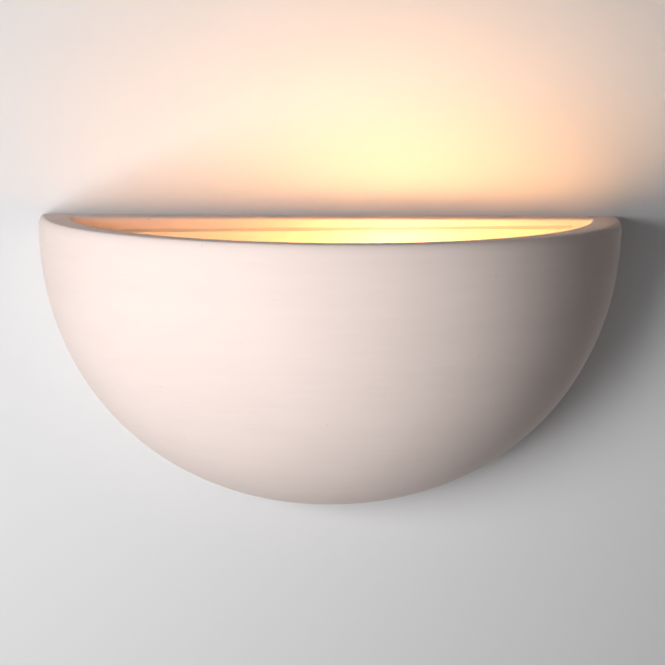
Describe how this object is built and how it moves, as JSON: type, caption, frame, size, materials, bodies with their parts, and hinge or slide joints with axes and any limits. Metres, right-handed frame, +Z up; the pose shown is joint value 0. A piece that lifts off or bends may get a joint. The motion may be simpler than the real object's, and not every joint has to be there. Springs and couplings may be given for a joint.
{
  "type": "uplighter wall sconce",
  "caption": "Half-bowl ceramic uplighter with a flat back that hangs on a hooked steel wall strap, open at the top over a screw-cap lamp and a reflector.",
  "frame": {"origin": "on the wall plane, midway between the two screw slots of the wall strap", "axes": "+X to the right along the wall seen from the room, -Y into the room, +Y into the wall, +Z up"},
  "size_m": [0.3, 0.15, 0.1485],
  "materials": {
    "bisque_ceramic": "matte unglazed off-white with fine streaks and pits",
    "white_reflector": "satin white baked paint on thin sheet",
    "zinc_steel": "bright zinc plate",
    "brass": "drawn brass, lightly dulled",
    "rubber": "matte black",
    "porcelain": "glossy white glaze",
    "block_plastic": "satin natural nylon",
    "spring_steel": "bare drawn wire",
    "tinned_copper": "dull tin plate",
    "brown_sleeve": "soft silicone sleeve",
    "blue_sleeve": "soft silicone sleeve",
    "green_yellow_sleeve": "soft silicone sleeve, green and yellow",
    "lamp_glass": "thin inside-frosted glass, lit warm",
    "clear_glass": "clear lead glass",
    "black_glass": "glossy black vitreous insulation",
    "lamp_cap_metal": "bright rolled aluminium",
    "solder": "soft solder button",
    "filament_wire": "coiled wire, glowing"
  },
  "bodies": {
    "wall_strap": {"wall_strap": "zinc_steel", "cable_grommet": "rubber", "earth_screw": "brass", "earth_washer": "brass"},
    "bowl_unit": {"bowl": "bisque_ceramic", "reflector": "white_reflector", "fixing_screws": "zinc_steel", "front_washers": "zinc_steel", "rear_washers": "zinc_steel", "rear_nuts": "zinc_steel", "lamp_arm": "zinc_steel", "nipple": "zinc_steel", "lock_washer": "zinc_steel", "lock_nut": "brass", "holder_cap": "porcelain", "holder_skirt": "porcelain", "contact_base": "porcelain", "screw_shell": "brass", "contact_spring": "spring_steel", "terminals": "brass", "terminal_screws": "zinc_steel", "terminal_block": "block_plastic", "block_tubes": "brass", "clamp_screws": "zinc_steel", "block_screws": "zinc_steel", "wire_grommet": "rubber", "live_lead": "brown_sleeve", "neutral_lead": "blue_sleeve", "earth_lead": "green_yellow_sleeve", "earth_tag": "tinned_copper", "tag_screw": "zinc_steel", "tag_nut": "zinc_steel"},
    "contact": {"centre_contact": "brass"},
    "lamp": {"bulb_glass": "lamp_glass", "lamp_cap": "lamp_cap_metal", "cap_insulator": "black_glass", "cap_contact": "solder", "lamp_stem": "clear_glass", "support_wires": "spring_steel", "filament": "filament_wire"}
  },
  "joints": [
    {"name": "bowl_lift", "type": "slide", "parent": "wall_strap", "child": "bowl_unit", "axis": [0, 0, 1], "range_m": [0, 0.012]},
    {"name": "contact_travel", "type": "slide", "parent": "bowl_unit", "child": "contact", "axis": [1, 0, 0], "range_m": [0, 0.00363]},
    {"name": "lamp_turn", "type": "hinge", "parent": "contact", "child": "lamp", "pos_m": [-0.041, -0.058, -0.01], "axis": [1, 0, 0], "range_deg": [0, 360]}
  ],
  "couplings": [
    {"joint": "contact_travel", "follows": "lamp_turn", "m_per_rad": 0.00057757}
  ]
}
